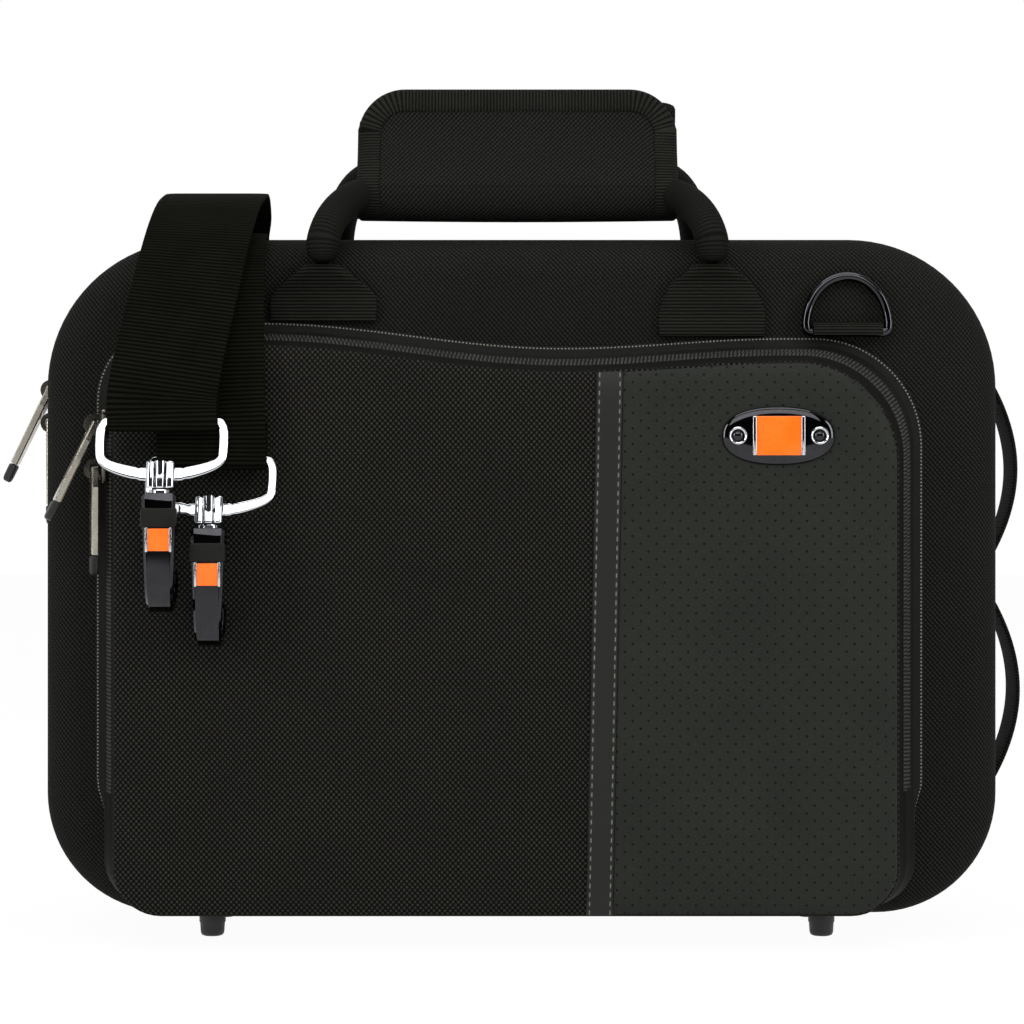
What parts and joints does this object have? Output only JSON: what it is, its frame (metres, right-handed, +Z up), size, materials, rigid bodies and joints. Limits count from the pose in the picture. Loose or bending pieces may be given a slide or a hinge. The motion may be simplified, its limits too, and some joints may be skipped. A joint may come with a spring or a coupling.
{
  "type": "clarinet case",
  "caption": "Soft-sided clarinet case on rubber feet, with a zipped lid, front pocket, wrap handle, side handle, lined tray and a hooked shoulder strap.",
  "frame": {"origin": "on the floor under the middle of the outline", "axes": "+X to the right along the width, +Y from the front pocket to the back, +Z up"},
  "size_m": [0.3812, 0.1488, 0.3103],
  "materials": {
    "nylon": "woven ballistic nylon over a moulded foam shell",
    "webbing": "ribbed polypropylene webbing",
    "zipper_tape": "woven zipper tape and nylon coil",
    "plush": "short plush over foam",
    "leatherette": "perforated polyurethane leatherette",
    "smooth_leatherette": "smooth polyurethane leatherette strip",
    "rubber": "moulded rubber",
    "chrome": "bright chrome plate",
    "black_chrome": "black chrome plate",
    "nickel": "satin nickel plate",
    "orange_enamel": "glossy filled enamel"
  },
  "bodies": {
    "base": {"base_shell": "nylon", "base_tray": "plush", "base_zipper_tape": "zipper_tape", "base_hinge_fabric": "nylon", "base_foot_left": "rubber", "base_foot_right": "rubber", "rear_handle_anchor_left": "webbing", "rear_handle_anchor_right": "webbing", "side_handle": "webbing"},
    "lid": {"lid_shell": "nylon", "lid_pad": "plush", "lid_zipper_tape": "zipper_tape", "lid_hinge_fabric": "nylon", "lid_foot_left": "rubber", "lid_foot_right": "rubber", "front_handle_anchor_left": "webbing", "front_handle_anchor_right": "webbing", "d_ring_tab_left": "webbing", "d_ring_tab_right": "webbing", "pocket_zipper_tape": "zipper_tape", "pocket_trough": "nylon"},
    "front_handle": {"front_handle_loop": "webbing", "front_grip_half": "nylon", "grip_loop_strip": "plush"},
    "rear_handle": {"rear_handle_loop": "webbing", "rear_grip_half": "nylon", "grip_hook_strip": "plush"},
    "d_ring_left": {"d_ring_left": "black_chrome"},
    "d_ring_right": {"d_ring_right": "black_chrome"},
    "pocket_cover": {"pocket_panel_nylon": "nylon", "pocket_trim_strip": "smooth_leatherette", "pocket_panel_leatherette": "leatherette", "pocket_gusset": "nylon", "badge_plate": "black_chrome", "badge_inlay": "orange_enamel", "badge_rivet_left": "chrome", "badge_rivet_right": "chrome"},
    "main_upper_slider": {"main_upper_slider": "nickel"},
    "main_upper_pull": {"main_upper_pull": "nickel", "main_upper_pull_tip": "rubber"},
    "main_lower_slider": {"main_lower_slider": "nickel"},
    "main_lower_pull": {"main_lower_pull": "nickel", "main_lower_pull_tip": "rubber"},
    "pocket_upper_slider": {"pocket_upper_slider": "nickel"},
    "pocket_upper_pull": {"pocket_upper_pull": "nickel", "pocket_upper_pull_tip": "rubber"},
    "pocket_lower_slider": {"pocket_lower_slider": "nickel"},
    "pocket_lower_pull": {"pocket_lower_pull": "nickel", "pocket_lower_pull_tip": "rubber"},
    "strap": {"strap_run_one": "webbing", "strap_run_two": "webbing", "strap_back_loop": "webbing", "hook_one_frame": "chrome", "hook_two_frame": "chrome"},
    "hook_one": {"hook_one_body": "black_chrome", "hook_one_label": "orange_enamel"},
    "hook_one_gate": {"hook_one_gate": "black_chrome"},
    "hook_two": {"hook_two_body": "black_chrome", "hook_two_label": "orange_enamel"},
    "hook_two_gate": {"hook_two_gate": "black_chrome"}
  },
  "joints": [
    {"name": "lid_hinge", "type": "hinge", "parent": "base", "child": "lid", "pos_m": [0.00237, 0.01396, 0.0109], "axis": [1, 0, 0], "range_deg": [0, 110], "deforming": ["strap_back_loop"]},
    {"name": "front_handle_hinge", "type": "hinge", "parent": "lid", "child": "front_handle", "pos_m": [0.00087, -0.02484, 0.249], "axis": [1, 0, 0], "range_deg": [0, 100]},
    {"name": "rear_handle_hinge", "type": "hinge", "parent": "base", "child": "rear_handle", "pos_m": [0.00087, 0.06876, 0.249], "axis": [-1, 0, 0], "range_deg": [0, 100]},
    {"name": "d_ring_left_hinge", "type": "hinge", "parent": "lid", "child": "d_ring_left", "pos_m": [-0.11463, -0.02394, 0.22449], "axis": [1, 0, 0], "range_deg": [0, 12]},
    {"name": "d_ring_right_hinge", "type": "hinge", "parent": "lid", "child": "d_ring_right", "pos_m": [0.11937, -0.02394, 0.21899], "axis": [1, 0, 0], "range_deg": [0, 85]},
    {"name": "pocket_cover_hinge", "type": "hinge", "parent": "lid", "child": "pocket_cover", "pos_m": [0.00237, -0.04834, 0.05215], "axis": [1, 0, 0], "range_deg": [0, 75]},
    {"name": "main_upper_slide", "type": "hinge", "parent": "base", "child": "main_upper_slider", "pos_m": [-0.11663, 0.01396, 0.1997], "axis": [0, 1, 0], "range_deg": [0, 60]},
    {"name": "main_upper_pull_hinge", "type": "hinge", "parent": "main_upper_slider", "child": "main_upper_pull", "pos_m": [-0.17283, 0.01396, 0.1997], "axis": [0, 1, 0], "range_deg": [0, 120]},
    {"name": "main_lower_slide", "type": "slide", "parent": "base", "child": "main_lower_slider", "axis": [0, 0, 1], "range_m": [-0.128, 0]},
    {"name": "main_lower_pull_hinge", "type": "hinge", "parent": "main_lower_slider", "child": "main_lower_pull", "pos_m": [-0.17283, 0.01396, 0.1875], "axis": [0, 1, 0], "range_deg": [0, 24]},
    {"name": "pocket_upper_slide", "type": "slide", "parent": "lid", "child": "pocket_upper_slider", "axis": [0, 0, 1], "range_m": [0, 0.004]},
    {"name": "pocket_upper_pull_hinge", "type": "hinge", "parent": "pocket_upper_slider", "child": "pocket_upper_pull", "pos_m": [-0.15029, -0.02994, 0.1855], "axis": [-0.2614, 0.9652, 0], "range_deg": [0, 100]},
    {"name": "pocket_lower_slide", "type": "slide", "parent": "lid", "child": "pocket_lower_slider", "axis": [0, 0, 1], "range_m": [-0.11, 0]},
    {"name": "pocket_lower_pull_hinge", "type": "hinge", "parent": "pocket_lower_slider", "child": "pocket_lower_pull", "pos_m": [-0.15029, -0.02994, 0.1695], "axis": [-0.2614, 0.9652, 0], "range_deg": [0, 24]},
    {"name": "strap_lift", "type": "slide", "parent": "pocket_cover", "child": "strap", "axis": [0, 0, 1], "range_m": [0, 0.3]},
    {"name": "hook_one_swivel", "type": "hinge", "parent": "strap", "child": "hook_one", "pos_m": [-0.12193, -0.06824, 0.1623], "axis": [0, 0, 1], "range_deg": [-30, 0]},
    {"name": "hook_one_gate_hinge", "type": "hinge", "parent": "hook_one", "child": "hook_one_gate", "pos_m": [-0.12193, -0.06564, 0.1489], "axis": [-1, 0, 0], "range_deg": [0, 25], "stiffness_Nm_per_rad": 0.02},
    {"name": "hook_two_swivel", "type": "hinge", "parent": "strap", "child": "hook_two", "pos_m": [-0.10583, -0.06264, 0.1503], "axis": [0, 0, 1], "range_deg": [-95, 0]},
    {"name": "hook_two_gate_hinge", "type": "hinge", "parent": "hook_two", "child": "hook_two_gate", "pos_m": [-0.10583, -0.06004, 0.1369], "axis": [-1, 0, 0], "range_deg": [0, 25], "stiffness_Nm_per_rad": 0.02}
  ]
}
